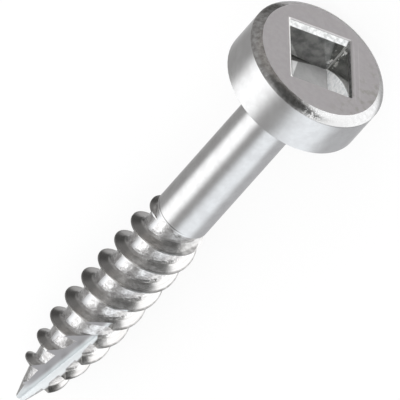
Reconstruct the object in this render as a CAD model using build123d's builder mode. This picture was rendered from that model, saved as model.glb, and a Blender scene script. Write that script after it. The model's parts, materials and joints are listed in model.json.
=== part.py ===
from build123d import *
from math import atan2, ceil, cos, degrees, radians, sin, sqrt
from itertools import product
import os

# Pocket hole screw: one piece of plated steel, lying as it comes to rest on its head and its thread.
# Millimetres and degrees. Heights along the screw count from the seat under the head,
# upwards to the drive face and downwards to the tip.

# Overall length, from the seat to the tip
seat_to_tip = 30.0

# Head: a flat, straight-sided disc with a softly rounded bevel round the drive face, a small
# chamfer round the seat and a sloping neck under it
head_diameter = 8.55
head_height = 3.05
rim_width = 0.52
rim_drop = 0.43
rim_bulge = 0.04
seat_chamfer = 0.12
neck_width = 0.2
neck_length = 0.3

# Square drive recess, narrowing to its floor, with an uneven bevel pressed round its mouth
recess_width = 3.76
recess_floor_width = 3.56
recess_depth = 2.3
recess_corner = 0.12
recess_turn = 31.2
mouth_width = 3.92
mouth_length = 4.26
mouth_shift = 0.1
mouth_bevel_depth = 0.2

# Plain shank and the short step down to the core of the thread
shank_diameter = 3.33
shank_length = 11.85
step_height = 0.12

# Core of the thread and the point that it narrows to
core_diameter = 2.92
point_length = 8.8
tip_diameter = 0.68
tip_dome = 0.32
taper_steps = 8

# Twin thread, coarse and right-handed. Each hollow flank bends at a share of its height and its width
thread_diameter = 4.2
thread_starts = 2
crest_spacing = 1.82
crest_width = 0.1
ridge_width = 1.0
flank_bend_height = 0.3
flank_bend_width = 0.42
thread_height_at_point = 0.45
plain_tip = 1.4
thread_start_turn = 62.3
run_in_turns = 0.4
run_in_drop = 0.6
run_out_turns = 0.3
ridge_sink = 0.08
least_growth = 0.25
slices_per_stretch = 8

# Auger cut: a V groove that deepens to the axis at the tip
groove_length = 8.2
groove_side_shift = 0.9
groove_rise = 1.13
groove_angle = 105.0
groove_lead_in = 1.0
groove_overrun = 4.0
groove_reach = 4.2

# Sizes that follow
head_radius = head_diameter / 2
face_radius = head_radius - rim_width
shank_radius = shank_diameter / 2
core_radius = core_diameter / 2
tip_radius = tip_diameter / 2
thread_height = thread_diameter / 2 - core_radius
lead = crest_spacing * thread_starts
point_start = seat_to_tip - point_length
taper_length = point_length - tip_dome
taper_drop = core_radius - tip_radius
taper_arc_radius = (taper_length**2 + taper_drop**2) / (2 * taper_drop)
dome_radius = (tip_radius**2 + tip_dome**2) / (2 * tip_dome)
thread_end = seat_to_tip - plain_tip
thread_length = thread_end - shank_length
thread_turns = thread_length / lead


def core_radius_at(depth):
    """Radius of the core at a depth below the seat."""
    run = min(max(depth - point_start, 0), taper_length)
    return core_radius - taper_arc_radius + sqrt(taper_arc_radius**2 - run**2)


def full_height_at(depth):
    """Height of the ridge over the core, which lessens towards the point."""
    share = max(depth - point_start, 0) / (thread_end - point_start)
    return thread_height + (thread_height_at_point - thread_height) * share


def ridge_growth_at(turn):
    """Share of its full height that the ridge has, as it runs in at the shank and out at the tip."""
    share = min(turn / run_in_turns, (thread_turns - turn) / run_out_turns, 1)
    return sin(radians(90) * max(share, 0))


def run_in_share_at(turn):
    """Share of its full drop that the ridge has where it runs in, lower than its own line."""
    return 1 - sin(radians(90) * min(turn / run_in_turns, 1))


def ridge_angle_at(depth):
    """Angle round the screw at which the first ridge passes a depth."""
    return thread_start_turn - 360 * (depth - shank_length) / lead


def rest_tilt(depth, radius):
    """Tilt at which the head's edge and a crest of that depth and radius touch the floor together."""
    return degrees(atan2(head_radius - radius, depth + seat_chamfer))


# The lowest crests as the screw lies: those that pass straight below its axis
angle_below = 270
first_below = ((thread_start_turn - angle_below) % (360 / thread_starts)) / 360 * lead + shank_length
crests_below = [first_below + crest_spacing * n for n in range(1, int(thread_length / crest_spacing))]
tilt = min(rest_tilt(depth, core_radius_at(depth) + full_height_at(depth)) for depth in crests_below)

# Place of the seat's centre, with the floor at zero height and the length centred on the origin
seat_height = head_radius * cos(radians(tilt)) - seat_chamfer * sin(radians(tilt))
head_reach = head_height * cos(radians(tilt)) + face_radius * sin(radians(tilt))
tip_reach = seat_to_tip * cos(radians(tilt))
seat_centre = Vector((tip_reach - head_reach) / 2, 0, seat_height)
screw_direction = Vector(cos(radians(tilt)), 0, sin(radians(tilt)))
screw_frame = Plane(origin=seat_centre, x_dir=(0, 1, 0), z_dir=screw_direction)


# The recess is turned round the screw's axis; its mouth lies a little to one side of it
recess_frame = Plane(screw_frame.location * Location((0, 0, 0), (0, 0, recess_turn)))
mouth_plane = Plane(
    origin=recess_frame.from_local_coords(Vector(0, -mouth_shift, head_height)),
    x_dir=recess_frame.x_dir,
    z_dir=recess_frame.z_dir,
)


def half_plane(angle):
    """The plane through the screw's axis at an angle round it: x runs outwards, y towards the head."""
    turned = Location((0, 0, 0), (0, 0, angle)) * Location((0, 0, 0), (90, 0, 0))
    return Plane(screw_frame.location * turned)


# The groove's line climbs from the tip towards the head; its plane stands square to it, opening upwards
groove_foot = screw_frame.from_local_coords(Vector(0, 0, -seat_to_tip))
groove_top = screw_frame.from_local_coords(
    Vector(-groove_side_shift, groove_rise, groove_length - seat_to_tip)
)
groove_line = groove_top - groove_foot
groove_plane = Plane(
    origin=groove_foot - groove_line.normalized() * groove_lead_in,
    x_dir=(0, 1, 0),
    z_dir=groove_line,
)

with BuildPart() as screw:
    # Head, shank, core and point, turned as one profile
    with BuildSketch(half_plane(0)):
        with BuildLine():
            drive_face = Line((0, head_height), (face_radius, head_height))
            rim_end = (head_radius, head_height - rim_drop)
            rim_middle = (
                head_radius - rim_width / 2 + rim_bulge,
                head_height - rim_drop / 2 + rim_bulge,
            )
            rim = ThreePointArc(drive_face @ 1, rim_middle, rim_end)
            wall = Line(rim @ 1, (head_radius, seat_chamfer))
            seat_edge = Line(wall @ 1, (head_radius - seat_chamfer, 0))
            seat = Line(seat_edge @ 1, (shank_radius + neck_width, 0))
            neck = Line(seat @ 1, (shank_radius, -neck_length))
            shank = Line(neck @ 1, (shank_radius, -shank_length))
            step = Line(shank @ 1, (core_radius, -shank_length - step_height))
            core = Line(step @ 1, (core_radius, -point_start))
            taper_depths = [point_start + taper_length * n / taper_steps for n in range(taper_steps + 1)]
            taper = Polyline([(core_radius_at(depth), -depth) for depth in taper_depths])
            dome = RadiusArc(taper @ 1, (0, -seat_to_tip), dome_radius)
            Line(dome @ 1, drive_face @ 0)
        make_face()
    revolve(axis=Axis(seat_centre, screw_direction))

    # Thread: each start is a ridge made in stretches of up to a turn, through slices taken round the screw
    stretches = ceil(thread_turns)
    for start, stretch in product(range(thread_starts), range(stretches)):
        for number in range(slices_per_stretch + 1):
            turn = thread_turns * (stretch + number / slices_per_stretch) / stretches
            growth = ridge_growth_at(turn)
            on_line = shank_length + lead * turn
            depth = on_line + run_in_drop * run_in_share_at(turn)
            half_root = ridge_width / 2 * max(growth, least_growth)
            half_crest = crest_width / 2
            half_bend = half_crest + (half_root - half_crest) * flank_bend_width
            crest = core_radius_at(depth) + full_height_at(depth) * growth
            crest -= ridge_sink / 2 * (1 - growth)
            upper_root = core_radius_at(depth - half_root) - ridge_sink
            lower_root = core_radius_at(depth + half_root) - ridge_sink
            upper_bend = upper_root + (crest - upper_root) * flank_bend_height
            lower_bend = lower_root + (crest - lower_root) * flank_bend_height
            angle = ridge_angle_at(on_line) + 360 * start / thread_starts
            with BuildSketch(half_plane(angle)):
                with BuildLine():
                    upper = Bezier(
                        (upper_root, half_root - depth),
                        (upper_bend, half_bend - depth),
                        (crest, half_crest - depth),
                    )
                    top = Line(upper @ 1, (crest, -half_crest - depth))
                    lower = Bezier(
                        top @ 1,
                        (lower_bend, -half_bend - depth),
                        (lower_root, -half_root - depth),
                    )
                    Line(lower @ 1, upper @ 0)
                make_face()
        loft()

    # Square recess, from its floor up to the bevel, and the bevel up to the drive face
    with BuildSketch(recess_frame.offset(head_height - recess_depth)):
        RectangleRounded(recess_floor_width, recess_floor_width, recess_corner)
    with BuildSketch(recess_frame.offset(head_height - mouth_bevel_depth)):
        RectangleRounded(recess_width, recess_width, recess_corner)
    loft(mode=Mode.SUBTRACT)
    with BuildSketch(recess_frame.offset(head_height - mouth_bevel_depth)):
        RectangleRounded(recess_width, recess_width, recess_corner)
    with BuildSketch(mouth_plane):
        RectangleRounded(mouth_width, mouth_length, recess_corner)
    loft(mode=Mode.SUBTRACT)

    # Auger cut, along a line from the tip that climbs out of the core
    with BuildSketch(groove_plane):
        side = groove_reach * sin(radians(groove_angle / 2))
        height = groove_reach * cos(radians(groove_angle / 2))
        Polygon((0, 0), (side, height), (-side, height), align=None)
    extrude(amount=groove_lead_in + groove_line.length + groove_overrun, mode=Mode.SUBTRACT)

screw.part.label = "screw"

os.makedirs("parts", exist_ok=True)
export_step(screw.part, "parts/screw.step")
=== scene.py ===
import json
from math import cos, pi, radians, sin

import bpy
from mathutils import Matrix, Vector

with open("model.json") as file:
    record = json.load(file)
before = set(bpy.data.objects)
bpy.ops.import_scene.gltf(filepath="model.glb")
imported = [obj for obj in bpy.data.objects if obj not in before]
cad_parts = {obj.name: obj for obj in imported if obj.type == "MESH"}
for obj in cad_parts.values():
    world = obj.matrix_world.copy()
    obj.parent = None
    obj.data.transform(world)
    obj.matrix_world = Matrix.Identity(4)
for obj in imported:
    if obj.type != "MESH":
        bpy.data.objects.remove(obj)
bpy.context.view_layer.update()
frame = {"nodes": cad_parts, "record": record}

MM = 0.001
NUMBER = "NodeSocketFloat"
COLOUR = "NodeSocketColor"
VECTOR = "NodeSocketVector"

# The screw's own line, from its tip to its head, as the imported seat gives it
seat = next(mount for mount in frame["record"]["mounts"] if mount["name"] == "head_seat")
seat_centre = Vector(seat["pos_m"])
screw_line = -Vector(seat["axis"]).normalized()
sideways = Vector((0, -1, 0))
upwards = sideways.cross(screw_line)

# Sizes of the screw that its finish follows, in millimetres and radians
head_height = 3.05
face_radius = 3.755
rim_drop = 0.43
recess_depth = 2.3
recess_width = 3.76
recess_turn = radians(31.2)
mouth_width = 3.92
mouth_length = 4.26
mouth_shift = 0.1
mouth_bevel_depth = 0.2
shank_length = 11.85
step_height = 0.12
seat_to_tip = 30.0
core_radius = 1.46
crest_spacing = 1.82
thread_starts = 2
thread_start_turn = radians(62.3)
point_start = 21.2
point_curl = 0.0153
groove_length = 8.2
groove_rise = 1.13
groove_side_shift = 0.9
groove_angle = radians(105.0)

# Half the widths of the edges between finishes, in millimetres
crisp_edge = 0.01
line_edge = 0.015
plain_edge = 0.02

# The photograph's view: its angle to the screw's line, how far it is turned, and what it takes in
view_to_line = radians(50.1)
picture_turn = radians(41.68)
picture_width = 22.3 * MM
picture_pixels = 400
screw_middle_pixel = (168.7, 230.9)

to_camera = screw_line * cos(view_to_line) + upwards * sin(view_to_line)
towards_head = screw_line * sin(view_to_line) - upwards * cos(view_to_line)
picture_right = towards_head * sin(picture_turn) + sideways * cos(picture_turn)
picture_up = towards_head * cos(picture_turn) - sideways * sin(picture_turn)

# Patches of the tent that the metal shows. Each has its direction (along the screw, up, to the right),
# half its width in degrees, the width of its soft edge in degrees, and its colour
tent_cloth = (0.5, 0.5, 0.5)
tent_patches = {
    "bright right side": ((0.45, -0.2, 0.87), 50, 22, (1.55, 1.55, 1.55)),
    "grey floor on the right": ((-0.641, -0.45, 0.62), 26, 20, (0.52, 0.52, 0.53)),
    "grey left side": ((0.3, -0.1, -0.95), 50, 30, (0.3, 0.295, 0.29)),
    "grey floor on the left": ((-0.641, -0.3, -0.7), 24, 20, (0.36, 0.355, 0.35)),
    "dark floor below": ((0.05, -0.96, -0.25), 26, 18, (0.12, 0.118, 0.115)),
    "grey wall before the head": ((0.92, -0.1, -0.4), 28, 18, (0.29, 0.275, 0.26)),
    "grey floor before the head": ((0.641, -0.767, 0.0), 18, 14, (0.45, 0.435, 0.44)),
    "pale floor behind": ((-0.641, -0.767, 0.0), 12, 8, (0.8, 0.8, 0.8)),
    "pale floor under the head": ((-0.2, -0.98, 0.0), 17, 10, (0.62, 0.61, 0.61)),
    "dark camera side": ((0.85, 0.5, 0.03), 29, 10, (0.045, 0.045, 0.042)),
    "dark corner over the right": ((0.641, 0.36, 0.68), 13, 10, (0.18, 0.18, 0.17)),
    "grey gap over the tip": ((-0.641, 0.767, 0.0), 30, 20, (0.36, 0.355, 0.35)),
    "soft light on the left": ((-0.641, 0.503, -0.579), 19.5, 25, (1.5, 1.5, 1.5)),
    "soft light on the right": ((-0.641, 0.44, 0.628), 22, 27, (1.09, 1.12, 1.15)),
}

# The room that lights the floor and the powdery plating, and its window, given as a patch is
room_light = (1.15, 1.15, 1.15)
room_window = {"window on the left": ((0.78, 0.1, -0.62), 27, 10, (4.2, 4.2, 4.2))}
camera_white = (1.0, 1.0, 1.0)

# Kinds of plating: grain for each millimetre, darker colour, lighter colour, height of the relief in
# millimetres, and roughness
platings = {
    "smooth shank": (1.3, (0.69, 0.69, 0.695), (0.755, 0.76, 0.765), 0.002, 0.26),
    "matt drive face": (3.0, (0.67, 0.65, 0.66), (0.71, 0.695, 0.70), 0.001, 0.42),
    "speckled rim": (4.5, (0.46, 0.45, 0.44), (0.76, 0.76, 0.76), 0.004, 0.22),
    "speckled bevel": (5.0, (0.50, 0.51, 0.51), (0.80, 0.81, 0.81), 0.008, 0.28),
    # Painted shade on the recess walls
    "painted shade on recess wall": (1.6, (0.22, 0.225, 0.22), (0.42, 0.42, 0.41), 0.004, 0.12),
    # Painted light: a pale patch on the right recess wall
    "painted light patch on recess wall": (4.5, (0.68, 0.70, 0.71), (1.0, 1.0, 1.0), 0.012, 0.3),
    "matt recess floor": (2.0, (0.38, 0.38, 0.38), (0.45, 0.45, 0.45), 0.002, 0.62),
    "rolled thread": (2.0, (0.68, 0.67, 0.66), (0.78, 0.775, 0.77), 0.0012, 0.2),
    "dented root": (3.2, (0.56, 0.55, 0.55), (0.86, 0.86, 0.86), 0.035, 0.2),
    # Painted shade on the flanks in front
    "dull flank": (4.0, (0.27, 0.265, 0.26), (0.47, 0.465, 0.46), 0.012, 0.25),
    # Painted shade along the crests
    "painted crest line": (4.0, (0.34, 0.33, 0.32), (0.66, 0.65, 0.64), 0.004, 0.3),
    "smooth groove": (1.2, (0.70, 0.69, 0.70), (0.78, 0.775, 0.79), 0.001, 0.3),
    "rough cut end": (3.5, (0.08, 0.08, 0.075), (0.36, 0.35, 0.34), 0.01, 0.35),
}

# Marks on the plating: colour, and how much of what is below them they hide
marks = {
    "olive stain": ((0.46, 0.46, 0.40), 0.45),
    "press mark": ((0.9, 0.88, 0.89), 0.35),
    # Painted highlight on the edge of the recess's mouth
    "painted_mouth_highlight": ((0.86, 0.86, 0.84), 1.0),
    "smooth rim": ((0.60, 0.605, 0.61), 0.75),
    # Painted shade on the rim's lower side
    "dull rim": ((0.25, 0.245, 0.245), 1.0),
    "scuff": ((0.64, 0.64, 0.64), 1.0),
    "rim line": ((0.42, 0.42, 0.42), 0.8),
    # Painted light on the right wall of the recess
    "painted light on right recess wall": ((0.82, 0.82, 0.79), 0.7),
    "recess speck": ((0.9, 0.9, 0.88), 1.0),
    # Painted light on the recess floor
    "painted light streak on floor": ((0.95, 0.95, 0.95), 1.0),
    # Painted shade at the recess floor's end
    "dark floor smudge": ((0.11, 0.11, 0.105), 1.0),
    # Painted shade line round the shank
    "painted shade line": ((0.3, 0.3, 0.3), 0.85),
    # Painted shade on the step at the shank's end
    "painted shade on step": ((0.36, 0.36, 0.35), 1.0),
    "rolled streak": ((0.3, 0.295, 0.29), 0.5),
    # Painted highlight on the crests
    "painted crest highlight": ((0.9, 0.9, 0.9), 1.0),
    # Painted shadow on the crests
    "painted crest shadow": ((0.17, 0.17, 0.17), 1.0),
    # Painted shade where the thread runs in
    "painted shade spot": ((0.15, 0.15, 0.14), 1.0),
    # Painted shade on the left flanks
    "painted shade on left flank": ((0.36, 0.355, 0.35), 0.8),
    # Painted light in the groove
    "painted light on groove": ((0.84, 0.875, 0.89), 1.0),
    # Painted shade in the groove
    "dull groove": ((0.46, 0.45, 0.46), 1.0),
    "ridge end blotch": ((0.16, 0.16, 0.155), 1.0),
}

# Clouds of noise that break the marks up: grain for each millimetre, detail, roughness of the noise, and the
# values between which a cloud thickens from nothing to full
clouds = {
    "stains": (2.2, 3.0, 0.5, 0.5, 0.66),
    "scuffs": (10.0, 2.0, 0.5, 0.46, 0.62),
    "specks": (4.0, 2.0, 0.5, 0.56, 0.66),
    "streaks": (1.6, 4.0, 0.7, 0.54, 0.60),
    "spot": (4.0, 2.0, 0.5, 0.42, 0.58),
    "blotches": (2.6, 2.0, 0.5, 0.36, 0.6),
}


def direction_of(along, up, right):
    """A direction given along the screw towards its head, up out of its back, and to its right."""
    return (screw_line * along + upwards * up + sideways * right).normalized()


def opaque(colour):
    """A colour with its fourth number."""
    return (*colour, 1.0)


def add_camera():
    """A very long lens, so that the picture is almost free of perspective, as the photograph is."""
    lens = 1700.0
    sensor = 36.0
    clip_factor = 10
    pixel = picture_width / picture_pixels
    across = screw_middle_pixel[0] - picture_pixels / 2
    down = screw_middle_pixel[1] - picture_pixels / 2
    screw_middle = seat_centre + screw_line * (head_height - seat_to_tip) / 2 * MM
    looked_at = screw_middle - picture_right * across * pixel + picture_up * down * pixel
    distance = picture_width * lens / sensor
    bpy.ops.object.camera_add(location=looked_at + to_camera * distance)
    camera = bpy.context.object
    camera.name = "camera"
    camera.rotation_euler = Matrix((picture_right, picture_up, to_camera)).transposed().to_euler()
    camera.data.lens = lens
    camera.data.sensor_width = sensor
    camera.data.clip_start = distance / clip_factor
    camera.data.clip_end = distance * clip_factor
    bpy.context.scene.camera = camera


def feed(tree, value, socket):
    """Links a socket to another, or writes a plain value on it."""
    if isinstance(value, bpy.types.NodeSocket):
        tree.links.new(value, socket)
    else:
        socket.default_value = value


def maths(tree, operation, *values, clamp=False):
    """A Math node with its values fed in order."""
    node = tree.nodes.new("ShaderNodeMath")
    node.operation = operation
    node.use_clamp = clamp
    for value, socket in zip(values, node.inputs):
        feed(tree, value, socket)
    return node.outputs[0]


def vectors(tree, operation, *values):
    """A Vector Math node with its values fed in order; it puts out a number where the operation makes one."""
    node = tree.nodes.new("ShaderNodeVectorMath")
    node.operation = operation
    for value, socket in zip(values, node.inputs):
        feed(tree, value, socket)
    makes_number = operation in ("DOT_PRODUCT", "LENGTH")
    return node.outputs["Value" if makes_number else "Vector"]


def ramp(tree, value, start, end, low=0.0, high=1.0):
    """Turns a value between start and end smoothly into one between low and high."""
    node = tree.nodes.new("ShaderNodeMapRange")
    node.interpolation_type = "SMOOTHSTEP"
    for label, fed in zip(("Value", "From Min", "From Max", "To Min", "To Max"), (value, start, end, low, high)):
        feed(tree, fed, node.inputs[label])
    return node.outputs["Result"]


def between(tree, value, low, high, edge):
    """A mask that is one where a value lies between low and high, with an edge of half a width given."""
    over_low = ramp(tree, value, low - edge, low + edge)
    over_high = ramp(tree, value, high - edge, high + edge)
    return maths(tree, "SUBTRACT", over_low, over_high, clamp=True)


def both(tree, *masks):
    """The masks multiplied."""
    found = masks[0]
    for mask in masks[1:]:
        found = maths(tree, "MULTIPLY", found, mask)
    return found


def blend(tree, share, first, second):
    """Mixes two colours by a share."""
    node = tree.nodes.new("ShaderNodeMix")
    node.data_type = "RGBA"
    for name, fed in (("Factor_Float", share), ("A_Color", first), ("B_Color", second)):
        feed(tree, fed, next(socket for socket in node.inputs if socket.identifier == name))
    return next(socket for socket in node.outputs if socket.identifier == "Result_Color")


def noise(tree, place, scale, detail, roughness):
    """Soft noise, with its grain counted for each millimetre."""
    node = tree.nodes.new("ShaderNodeTexNoise")
    for label, fed in (("Vector", place), ("Scale", scale), ("Detail", detail), ("Roughness", roughness)):
        feed(tree, fed, node.inputs[label])
    return node.outputs["Fac"]


def new_group(name, inputs, outputs):
    """An empty shader group with named sockets, and its two ends."""
    group = bpy.data.node_groups.new(name, "ShaderNodeTree")
    for label, kind in inputs:
        group.interface.new_socket(name=label, in_out="INPUT", socket_type=kind)
    for label, kind in outputs:
        group.interface.new_socket(name=label, in_out="OUTPUT", socket_type=kind)
    return group, group.nodes.new("NodeGroupInput").outputs, group.nodes.new("NodeGroupOutput").inputs


def use_group(tree, group, values):
    """Places a group in a material, with values by the names of its sockets."""
    node = tree.nodes.new("ShaderNodeGroup")
    node.node_tree = group
    for label, value in values.items():
        feed(tree, value, node.inputs[label])
    return node.outputs


def find_node(tree, kind):
    """The node of a kind that a new material or world already has."""
    return next(node for node in tree.nodes if node.type == kind)


def make_tent_patch():
    """One patch of the light tent: a round area of a colour in a direction, with a soft edge."""
    group, given, put = new_group(
        "tent patch",
        [
            ("Looking", VECTOR),
            ("Tent", COLOUR),
            ("Patch", COLOUR),
            ("Towards", VECTOR),
            ("Inner Edge", NUMBER),
            ("Outer Edge", NUMBER),
        ],
        [("Tent", COLOUR)],
    )
    nearness = vectors(group, "DOT_PRODUCT", given["Looking"], given["Towards"])
    share = ramp(group, nearness, given["Outer Edge"], given["Inner Edge"])
    feed(group, blend(group, share, given["Tent"], given["Patch"]), put["Tent"])
    return group


def lay_patches(tree, group, looking, tent, patches):
    """Lays patches on a tent one after another."""
    for name, (towards, half_width, soft_edge, colour) in patches.items():
        values = {
            "Looking": looking,
            "Tent": tent,
            "Patch": opaque(colour),
            "Towards": direction_of(*towards),
            "Inner Edge": cos(radians(half_width - soft_edge / 2)),
            "Outer Edge": cos(radians(half_width + soft_edge / 2)),
        }
        tent = use_group(tree, group, values)["Tent"]
        tent.node.label = name
    return tent


def light_the_tent():
    """A white room for the camera, a soft light with a window, and a patched tent of cloth for the metal."""
    world = bpy.data.worlds.new("light tent")
    bpy.context.scene.world = world
    world.use_nodes = True
    tree = world.node_tree
    looking = tree.nodes.new("ShaderNodeTexCoord").outputs["Generated"]
    path = tree.nodes.new("ShaderNodeLightPath").outputs
    patch_group = make_tent_patch()
    tent = lay_patches(tree, patch_group, looking, opaque(tent_cloth), tent_patches)
    room = lay_patches(tree, patch_group, looking, opaque(room_light), room_window)
    seen_in_metal = maths(tree, "MAXIMUM", path["Is Glossy Ray"], path["Is Transmission Ray"])
    seen = blend(tree, seen_in_metal, room, tent)
    seen = blend(tree, path["Is Camera Ray"], seen, opaque(camera_white))
    feed(tree, seen, find_node(tree, "BACKGROUND").inputs["Color"])


def add_floor():
    """A plain white floor that keeps a faint shadow; the metal sees the tent in its place."""
    floor_width = 4.0
    cloth_white = (0.9, 0.9, 0.9)
    glow_share = 0.85
    bpy.ops.mesh.primitive_plane_add(size=floor_width)
    floor = bpy.context.object
    floor.name = "floor"
    floor.visible_glossy = False
    material = bpy.data.materials.new("white floor")
    material.use_nodes = True
    tree = material.node_tree
    cloth = find_node(tree, "BSDF_PRINCIPLED")
    cloth.inputs["Base Color"].default_value = opaque(cloth_white)
    cloth.inputs["Roughness"].default_value = 1.0
    cloth.inputs["Specular IOR Level"].default_value = 0.0
    glow = tree.nodes.new("ShaderNodeEmission")
    mix = tree.nodes.new("ShaderNodeMixShader")
    path = tree.nodes.new("ShaderNodeLightPath").outputs
    seen = maths(tree, "MAXIMUM", path["Is Camera Ray"], path["Is Glossy Ray"])
    seen = maths(tree, "MAXIMUM", seen, path["Is Transmission Ray"])
    feed(tree, maths(tree, "MULTIPLY", seen, glow_share), mix.inputs["Fac"])
    feed(tree, cloth.outputs[0], mix.inputs[1])
    feed(tree, glow.outputs[0], mix.inputs[2])
    feed(tree, mix.outputs[0], find_node(tree, "OUTPUT_MATERIAL").inputs["Surface"])
    floor.data.materials.append(material)


def find_on_thread(group, on_screw, right, up, depth, radius):
    """How far a point is above the core and past the nearest crest, and its place among the rolled marks."""
    # The core gets thinner down the point, and faster towards the tip
    down_the_point = maths(group, "MAXIMUM", maths(group, "SUBTRACT", depth, point_start), 0.0)
    drop = both(group, down_the_point, down_the_point, point_curl)
    above_core = maths(group, "ADD", maths(group, "SUBTRACT", radius, core_radius), drop)

    # The ridges pass an angle round the screw, counted from its left, once in each crest spacing
    angle = maths(group, "ARCTAN2", up, maths(group, "MULTIPLY", right, -1.0))
    climb = crest_spacing * thread_starts / (2 * pi)
    ridge_depth = maths(group, "MULTIPLY_ADD", angle, -climb, shank_length + thread_start_turn * climb)
    from_ridge = maths(group, "SUBTRACT", depth, ridge_depth)
    from_crest = maths(group, "WRAP", from_ridge, crest_spacing / 2, -crest_spacing / 2)

    # Rolled marks run along the ridges: their pattern changes fast across a ridge and slowly along it
    change_up_flank = 3.0
    change_along = 0.35
    phase = maths(group, "MULTIPLY", from_ridge, 2 * pi / crest_spacing)
    across_ridge = group.nodes.new("ShaderNodeCombineXYZ")
    feed(group, maths(group, "SINE", phase), across_ridge.inputs[0])
    feed(group, maths(group, "COSINE", phase), across_ridge.inputs[1])
    feed(group, maths(group, "MULTIPLY", above_core, change_up_flank), across_ridge.inputs[2])
    along_ridge = vectors(group, "MULTIPLY", on_screw, (change_along, change_along, change_along))
    return above_core, from_crest, vectors(group, "ADD", across_ridge.outputs[0], along_ridge)


def find_at_recess(group, on_screw):
    """How far a point is across the recess, along it, and past the edge of its mouth."""
    across_line = Vector((cos(recess_turn), -sin(recess_turn), 0.0))
    along_line = Vector((-sin(recess_turn), -cos(recess_turn), 0.0))
    across = vectors(group, "DOT_PRODUCT", on_screw, across_line)
    along = vectors(group, "DOT_PRODUCT", on_screw, along_line)
    past_side = maths(group, "SUBTRACT", maths(group, "ABSOLUTE", across), mouth_width / 2)
    off_middle = maths(group, "ABSOLUTE", maths(group, "SUBTRACT", along, mouth_shift))
    past_end = maths(group, "SUBTRACT", off_middle, mouth_length / 2)
    return across, along, maths(group, "MAXIMUM", past_side, past_end)


def make_screw_places():
    """Finds where a point lies on the screw, in millimetres: to its right, up out of its back, down from its seat
    and out from its line, and then on the thread and at the recess."""
    group, given, put = new_group(
        "place on the screw",
        [("Place", VECTOR)],
        [
            ("Place on Screw", VECTOR),
            ("Right", NUMBER),
            ("Up", NUMBER),
            ("Depth", NUMBER),
            ("Radius", NUMBER),
            ("Above Core", NUMBER),
            ("From Crest", NUMBER),
            ("Rolled Place", VECTOR),
            ("Across Recess", NUMBER),
            ("Along Recess", NUMBER),
            ("Past Mouth", NUMBER),
        ],
    )
    from_seat = vectors(group, "SUBTRACT", given["Place"], seat_centre)
    millimetres = vectors(group, "SCALE", from_seat)
    millimetres.node.inputs["Scale"].default_value = 1 / MM
    right = vectors(group, "DOT_PRODUCT", millimetres, sideways)
    up = vectors(group, "DOT_PRODUCT", millimetres, upwards)
    depth = vectors(group, "DOT_PRODUCT", millimetres, -screw_line)
    radius = vectors(group, "LENGTH", vectors(group, "CROSS_PRODUCT", millimetres, screw_line))
    place = group.nodes.new("ShaderNodeCombineXYZ")
    for value, socket in zip((right, up, depth), place.inputs):
        feed(group, value, socket)
    on_screw = place.outputs[0]
    on_thread = find_on_thread(group, on_screw, right, up, depth, radius)
    at_recess = find_at_recess(group, on_screw)
    for value, socket in zip((on_screw, right, up, depth, radius, *on_thread, *at_recess), put):
        feed(group, value, socket)
    return group


def make_mottle():
    """Plating that is mottled between two colours, and the height of its grain in millimetres."""
    all_dark, all_light = 0.32, 0.68
    group, given, put = new_group(
        "mottled plating",
        [("Place", VECTOR), ("Grain", NUMBER), ("Darker", COLOUR), ("Lighter", COLOUR), ("Relief", NUMBER)],
        [("Colour", COLOUR), ("Height", NUMBER)],
    )
    grain = noise(group, given["Place"], given["Grain"], detail=3.0, roughness=0.6)
    share = ramp(group, grain, all_dark, all_light)
    feed(group, blend(group, share, given["Darker"], given["Lighter"]), put["Colour"])
    feed(group, maths(group, "MULTIPLY", grain, given["Relief"]), put["Height"])
    return group


def groove_normals():
    """The directions square to the left and the right wall of the point's groove."""
    line = direction_of(groove_length, groove_rise, groove_side_shift)
    left = (-sideways + line * line.dot(sideways)).normalized()
    out = line.cross(left)
    return (
        (out * sin(groove_angle / 2) - left * cos(groove_angle / 2)).normalized(),
        (out * sin(groove_angle / 2) + left * cos(groove_angle / 2)).normalized(),
    )


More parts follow.
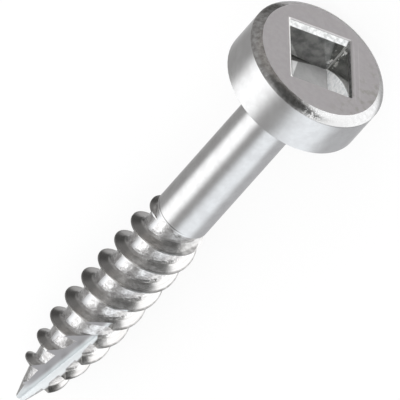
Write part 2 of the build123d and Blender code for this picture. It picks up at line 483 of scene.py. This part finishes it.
class ScrewFinish:
    """The screw's material as it is built up: the places on the screw, and what is laid there so far."""

    def __init__(self, tree):
        self.tree = tree
        object_place = tree.nodes.new("ShaderNodeTexCoord").outputs["Object"]
        self.place = use_group(tree, make_screw_places(), {"Place": object_place})
        self.mottle_group = make_mottle()
        shank, self.roughness = self.plating("smooth shank", "Place on Screw")
        self.colour, self.height = shank["Colour"], shank["Height"]
        self.powdery = 0.0
        self.rubbed = 0.0

    def fade(self, name, start, end, low=0.0, high=1.0):
        """Turns a place on the screw, from start to end in millimetres, into a value from low to high."""
        return ramp(self.tree, self.place[name], start, end, low, high)

    def band(self, name, low, high, edge=plain_edge):
        """A mask that is one where a place on the screw lies between low and high, in millimetres."""
        return between(self.tree, self.place[name], low, high, edge)

    def cloud(self, kind, low=0.0, high=1.0, where="Place on Screw"):
        """A cloud of noise that goes from low to high."""
        grain, detail, roughness, thin, thick = clouds[kind]
        found = noise(self.tree, self.place[where], grain, detail, roughness)
        return ramp(self.tree, found, thin, thick, low, high)

    def plating(self, kind, where):
        """Mottled plating of a kind, and its roughness."""
        grain, darker, lighter, relief, roughness = platings[kind]
        values = {
            "Place": self.place[where],
            "Grain": grain,
            "Darker": opaque(darker),
            "Lighter": opaque(lighter),
            "Relief": relief,
        }
        return use_group(self.tree, self.mottle_group, values), roughness

    def lay(self, mask, kind, where="Place on Screw"):
        """Lays a kind of plating where a mask is one."""
        zone, roughness = self.plating(kind, where)
        raised = maths(self.tree, "SUBTRACT", zone["Height"], self.height)
        self.colour = blend(self.tree, mask, self.colour, zone["Colour"])
        self.height = maths(self.tree, "MULTIPLY_ADD", mask, raised, self.height)
        self.roughness = ramp(self.tree, mask, 0.0, 1.0, self.roughness, roughness)

    def mark(self, mask, kind):
        """Colours a mark where a mask is one."""
        colour, hiding = marks[kind]
        self.colour = blend(self.tree, both(self.tree, mask, hiding), self.colour, opaque(colour))

    def sink(self, depth):
        """Lowers the surface by a depth in millimetres."""
        self.height = maths(self.tree, "SUBTRACT", self.height, depth)

    def powder(self, *masks):
        """Makes the plating powdery, so that it scatters light, where one of the masks is one."""
        for mask in masks:
            self.powdery = maths(self.tree, "MAXIMUM", self.powdery, mask)

    def rub(self, share):
        """Takes a share of the mirror away."""
        self.rubbed = maths(self.tree, "ADD", self.rubbed, share)

    def feed_to(self, metal):
        """Links what was laid to the metal's shader."""
        powdery_mirror = 0.1
        mirror = ramp(self.tree, self.powdery, 0.0, 1.0, 1.0, powdery_mirror)
        bump = self.tree.nodes.new("ShaderNodeBump")
        bump.inputs["Strength"].default_value = 1.0
        bump.inputs["Distance"].default_value = MM
        feed(self.tree, self.height, bump.inputs["Height"])
        feed(self.tree, bump.outputs["Normal"], metal.inputs["Normal"])
        feed(self.tree, self.colour, metal.inputs["Base Color"])
        feed(self.tree, self.roughness, metal.inputs["Roughness"])
        feed(self.tree, maths(self.tree, "SUBTRACT", mirror, self.rubbed), metal.inputs["Metallic"])


def finish_drive_face(finish, face):
    """The drive face: matt, with olive stains at its right and pale press marks beside the recess."""
    tree = finish.tree
    finish.lay(face, "matt drive face")
    stained_side = finish.fade("Right", 1.6, 3.0)
    finish.mark(both(tree, face, finish.cloud("stains"), stained_side), "olive stain")
    near_line = finish.band("Across Recess", 2.12, 2.2)
    far_line = finish.band("Across Recess", 2.42, 2.48)
    lines_reach = finish.band("Along Recess", -2.0, 2.0, 0.4)
    finish.mark(both(tree, face, maths(tree, "ADD", near_line, far_line), lines_reach), "press mark")

    # The mouth of the recess is a little rounded, apart from one end
    rounding_width, rounding_drop = 0.09, 0.03
    rounding = finish.fade("Past Mouth", 0.0, rounding_width, rounding_drop, 0.0)
    off_sharp_end = finish.fade("Along Recess", -1.95, -1.7)
    finish.sink(both(tree, face, rounding, off_sharp_end))


def finish_rim(finish):
    """The rim: speckled, smooth on the right, with painted shade below, scuffed at its upper right, and lined at
    its foot.
    """
    tree = finish.tree
    foot = rim_drop - head_height
    over_foot = finish.fade("Depth", foot - crisp_edge, foot + plain_edge, 1.0, 0.0)
    off_face = finish.fade("Radius", face_radius - crisp_edge, face_radius + crisp_edge)
    rim = both(tree, over_foot, off_face)
    finish.lay(rim, "speckled rim")

    smoothing = 0.75
    smooth = both(tree, rim, finish.fade("Right", 0.9, 1.9))
    finish.mark(smooth, "smooth rim")
    finish.sink(both(tree, smooth, smoothing, finish.height))
    # Painted shade: the rim's lower side, turned to the floor, is coloured dark and made powdery
    shaded = both(tree, rim, finish.fade("Up", -0.8, -2.4))
    finish.mark(shaded, "dull rim")

    even_share = 0.75
    patchy_scuffs = both(tree, finish.cloud("scuffs"), finish.band("Right", 1.3, 3.3, 0.5))
    even_scuffs = both(tree, finish.band("Right", 2.0, 3.5, 0.5), even_share)
    upper_part = finish.fade("Up", 0.5, 1.5)
    scuffs = both(tree, rim, maths(tree, "MAXIMUM", patchy_scuffs, even_scuffs), upper_part)
    finish.mark(scuffs, "scuff")
    finish.powder(shaded, scuffs)

    over_line, under_line = 0.02, 0.07
    line = finish.band("Depth", foot - over_line, foot + under_line, line_edge)
    right_part = finish.fade("Right", 1.0, 3.0)
    finish.mark(both(tree, line, right_part), "rim line")


def finish_recess(finish, recess):
    """The recess: a speckled bevel, walls darkened with painted shade, the right one lighter with painted light
    and a pale painted patch of light on it, and a matt floor.
    """
    tree = finish.tree
    bevel_end = mouth_bevel_depth - head_height
    floor_depth = recess_depth - head_height
    finish.lay(recess, "speckled bevel")
    walls = both(tree, recess, finish.fade("Depth", bevel_end - crisp_edge, bevel_end + plain_edge))
    # Painted shade: the walls are coloured dark
    finish.lay(walls, "painted shade on recess wall")
    # Painted light: the right wall is coloured lighter
    right_wall = both(tree, walls, finish.fade("Across Recess", 1.7, 1.75))
    finish.mark(right_wall, "painted light on right recess wall")

    # The painted patch of light is low on the right wall, and its top curves up away from the end wall
    patch_slope, patch_curl = 0.9, 0.09
    patch_fade = (-0.05, 0.1)
    from_end = maths(tree, "SUBTRACT", recess_width / 2, finish.place["Along Recess"])
    over_floor = maths(tree, "SUBTRACT", floor_depth, finish.place["Depth"])
    patch_top = both(tree, from_end, maths(tree, "MULTIPLY_ADD", from_end, -patch_curl, patch_slope))
    patch = both(tree, right_wall, ramp(tree, maths(tree, "SUBTRACT", patch_top, over_floor), *patch_fade))
    finish.lay(patch, "painted light patch on recess wall")

    # The specks lie along the corner between the right wall and the end wall
    speck_fade = (0.6, 0.2)
    from_side = maths(tree, "SUBTRACT", recess_width / 2, finish.place["Across Recess"])
    near_corner = ramp(tree, maths(tree, "MAXIMUM", from_end, from_side), *speck_fade)
    specks = both(tree, walls, near_corner, finish.cloud("specks"))
    finish.mark(specks, "recess speck")

    floor = both(tree, recess, finish.fade("Depth", floor_depth - 0.03, floor_depth - crisp_edge))
    finish.lay(floor, "matt recess floor")
    finish.powder(patch, specks, floor)
    mark_floor(finish, floor)


def mark_floor(finish, floor):
    """Painted shade along the floor's end, narrower to the right, and a pale streak of painted light that tapers
    away from it.
    """
    tree = finish.tree
    across, along = finish.place["Across Recess"], finish.place["Along Recess"]
    painted_shade_start, painted_shade_slope = 1.6, 0.16
    painted_shade_fade = (-0.02, 0.05)
    streak_start, streak_slope = -0.55, 0.3
    streak_fade = (0.03, -0.05)
    painted_shade_side = maths(tree, "MULTIPLY_ADD", across, painted_shade_slope, painted_shade_start)
    painted_shade = ramp(tree, maths(tree, "SUBTRACT", along, painted_shade_side), *painted_shade_fade)
    streak_side = maths(tree, "MULTIPLY_ADD", along, streak_slope, streak_start)
    streak = ramp(tree, maths(tree, "SUBTRACT", across, streak_side), *streak_fade)
    streak_left = finish.fade("Across Recess", -0.48, -0.42)
    finish.mark(both(tree, floor, streak, streak_left), "painted light streak on floor")
    finish.mark(both(tree, floor, painted_shade), "dark floor smudge")


def paint_mouth_highlight(finish, face):
    """A painted highlight: a thin bright line on the left edge of the recess's mouth."""
    at_mouth = finish.fade("Past Mouth", 0.06, 0.025)
    left_edge = finish.fade("Across Recess", -1.85, -1.95)
    painted_mouth_highlight = both(finish.tree, face, at_mouth, left_edge)
    finish.mark(painted_mouth_highlight, "painted_mouth_highlight")
    finish.powder(painted_mouth_highlight)


def finish_shank_end(finish, thread):
    """A dark line of painted shade round the shank's end, and painted shade on the step down to the core."""
    tree = finish.tree
    over_line, under_line = 0.17, 0.1
    line = finish.band("Depth", shank_length - over_line, shank_length - under_line, line_edge)
    left_part = finish.fade("Right", 1.0, 0.0)
    finish.mark(both(tree, line, left_part), "painted shade line")
    step_end = shank_length + step_height
    over_step_end = finish.fade("Depth", step_end + crisp_edge, step_end - crisp_edge)
    off_core = finish.fade("Above Core", 0.0, 0.03)
    finish.mark(both(tree, thread, over_step_end, off_core), "painted shade on step")


def finish_flanks(finish, thread):
    """The ridges' dented roots, painted shade on the flanks in front, patchy, and streaks along them."""
    tree = finish.tree
    roots = both(tree, thread, finish.fade("Above Core", 0.18, 0.06))
    finish.lay(roots, "dented root")

    # Painted shade: the flanks in front, and where the thread runs in, are coloured dark
    front_share, run_in_share = 0.8, 0.65
    over_crest = finish.fade("From Crest", -0.02, -0.1)
    up_flank = finish.fade("Above Core", 0.1, 0.2)
    in_front = finish.band("Right", -0.7, 1.1, 0.3)
    front = both(tree, thread, over_crest, up_flank, in_front, front_share)
    run_in_start, run_in_end = shank_length + 0.25, shank_length + 1.45
    run_in_side = finish.band("Right", 0.1, 1.6, 0.3)
    run_in = both(tree, finish.band("Depth", run_in_start, run_in_end, 0.3), run_in_side, run_in_share)
    finish.lay(maths(tree, "MAXIMUM", front, run_in), "dull flank")

    streaked_side = finish.band("Right", -0.3, 1.3, 0.3)
    off_root = finish.fade("Above Core", 0.05, 0.2)
    streaks = finish.cloud("streaks", where="Rolled Place")
    finish.mark(both(tree, thread, streaks, streaked_side, off_root), "rolled streak")


def finish_crests(finish, thread):
    """The crests: a painted dark line along them, with a painted highlight on the left, painted shadow darkest in
    front, and less dark on the right.
    """
    tree = finish.tree
    crest_fade = (0.1, 0.06)
    front_shade, right_shade = 0.8, 0.38
    on_crest = ramp(tree, maths(tree, "ABSOLUTE", finish.place["From Crest"]), *crest_fade)
    up_ridge = finish.fade("Above Core", 0.2, 0.3)
    crest = both(tree, thread, on_crest, up_ridge)
    finish.lay(crest, "painted crest line")
    # Painted highlight on the left part, and painted shadow on the right half
    lit_part = finish.band("Right", -1.35, -0.2, 0.25)
    finish.mark(both(tree, crest, lit_part), "painted crest highlight")
    right_half = finish.fade("Right", 0.0, 0.5)
    shade = finish.fade("Right", 1.0, 1.7, front_shade, right_shade)
    finish.mark(both(tree, crest, right_half, shade), "painted crest shadow")


def finish_thread_marks(finish, thread):
    """Painted shade: a dark spot where the thread runs in, and the dark left side of the ridges."""
    tree = finish.tree
    spot_start, spot_end = shank_length + 0.2, shank_length + 0.55
    spot_side = finish.band("Right", 0.1, 0.75, 0.2)
    spot = both(tree, finish.band("Depth", spot_start, spot_end, 0.12), spot_side, finish.cloud("spot"))
    finish.mark(spot, "painted shade spot")
    left_side = finish.fade("Right", -0.6, -1.1)
    off_root = finish.fade("Above Core", 0.05, 0.2)
    finish.mark(both(tree, thread, left_side, off_root), "painted shade on left flank")


def finish_groove(finish, thread):
    """The groove's walls: the left one darkened with painted shade away from the groove's line, the right one
    brightened with painted light, with the ridges that it cuts dark and rough at their ends."""
    tree = finish.tree
    left_normal, right_normal = groove_normals()
    off_wall, on_wall = 0.985, 0.995
    normal = tree.nodes.new("ShaderNodeNewGeometry").outputs["True Normal"]
    left_wall = ramp(tree, vectors(tree, "DOT_PRODUCT", normal, left_normal), off_wall, on_wall)
    right_wall = ramp(tree, vectors(tree, "DOT_PRODUCT", normal, right_normal), off_wall, on_wall)
    groove = both(tree, thread, maths(tree, "MAXIMUM", left_wall, right_wall))
    outside = maths(tree, "SUBTRACT", 1.0, groove)
    finish.lay(groove, "smooth groove")

    shaded_fade = (0.15, 0.45)
    bright_fade = (0.75, 0.3)
    outer_brightness = 0.35
    groove_foot = Vector((0.0, 0.0, seat_to_tip))
    groove_line = Vector((groove_side_shift, groove_rise, -groove_length)).normalized()
    from_foot = vectors(tree, "SUBTRACT", finish.place["Place on Screw"], groove_foot)
    off_line = vectors(tree, "LENGTH", vectors(tree, "CROSS_PRODUCT", from_foot, groove_line))
    off_tip = finish.fade("Depth", seat_to_tip - 0.6, seat_to_tip - 2.5)
    # Painted shade on the left wall away from the groove's line, painted light on the rest of the groove
    shaded = both(tree, groove, left_wall, ramp(tree, off_line, *shaded_fade), off_tip)
    right_brightness = ramp(tree, off_line, *bright_fade, outer_brightness, 1.0)
    bright = both(tree, groove, maths(tree, "SUBTRACT", 1.0, shaded))
    bright = both(tree, bright, maths(tree, "MAXIMUM", left_wall, right_brightness))
    finish.mark(bright, "painted light on groove")
    finish.mark(shaded, "dull groove")

    # The groove is a little less of a mirror, and so is the thread outside it, the more so to the right
    groove_rub, thread_rub = 0.25, 0.15
    rubbed_side = finish.fade("Right", -0.9, 0.6)
    finish.rub(both(tree, bright, groove_rub))
    finish.rub(both(tree, thread, outside, rubbed_side, thread_rub))

    blotch_fade = (0.65, 0.15)
    thinnest_blotch, thickest_blotch = 0.35, 0.9
    out_of_wall = Vector([right_normal.dot(axis) for axis in (sideways, upwards, -screw_line)])
    behind_wall = ramp(tree, vectors(tree, "DOT_PRODUCT", from_foot, -out_of_wall), *blotch_fade)
    cloud = finish.cloud("blotches", thinnest_blotch, thickest_blotch)
    up_flank = finish.fade("Above Core", 0.08, 0.25)
    right_side = finish.fade("Right", 0.0, 0.4)
    on_point = finish.fade("Depth", seat_to_tip - 7.0, seat_to_tip - 6.0)
    off_groove = ramp(tree, groove, 1.0, 0.0)
    blotches = both(tree, thread, behind_wall, cloud, up_flank, right_side, on_point, off_groove)
    finish.mark(blotches, "ridge end blotch")
    off_core = finish.fade("Above Core", 0.1, 0.22)
    finish.lay(both(tree, thread, right_wall, off_core), "rough cut end")


def finish_screw():
    """Bright zinc plating on steel, laid on from the head to the tip."""
    material = bpy.data.materials.new("bright zinc plating")
    material.use_nodes = True
    tree = material.node_tree
    finish = ScrewFinish(tree)

    # The drive face ends, and the recess starts, a hair below the face's plane
    over_face = -head_height - 0.1
    under_face = -head_height + 0.015
    under_floor = recess_depth - head_height + 0.25
    inside_face = maths(tree, "LESS_THAN", finish.place["Radius"], face_radius)
    inside_recess = finish.fade("Radius", 3.2, 3.1)
    face = both(tree, finish.band("Depth", over_face, under_face, crisp_edge), inside_face)
    recess = both(tree, finish.band("Depth", under_face, under_floor, crisp_edge), inside_recess)
    thread = finish.fade("Depth", shank_length - plain_edge, shank_length + plain_edge)

    finish_drive_face(finish, face)
    finish_rim(finish)
    finish_recess(finish, recess)
    paint_mouth_highlight(finish, face)
    finish.lay(thread, "rolled thread", "Rolled Place")
    finish_shank_end(finish, thread)
    finish_flanks(finish, thread)
    finish_crests(finish, thread)
    finish_thread_marks(finish, thread)
    finish_groove(finish, thread)
    finish.feed_to(find_node(tree, "BSDF_PRINCIPLED"))
    screw = frame["nodes"]["screw"]
    screw.data.materials.clear()
    screw.data.materials.append(material)


bpy.context.scene.view_settings.view_transform = "Standard"
bpy.ops.object.select_all(action="DESELECT")
add_camera()
light_the_tent()
add_floor()
finish_screw()
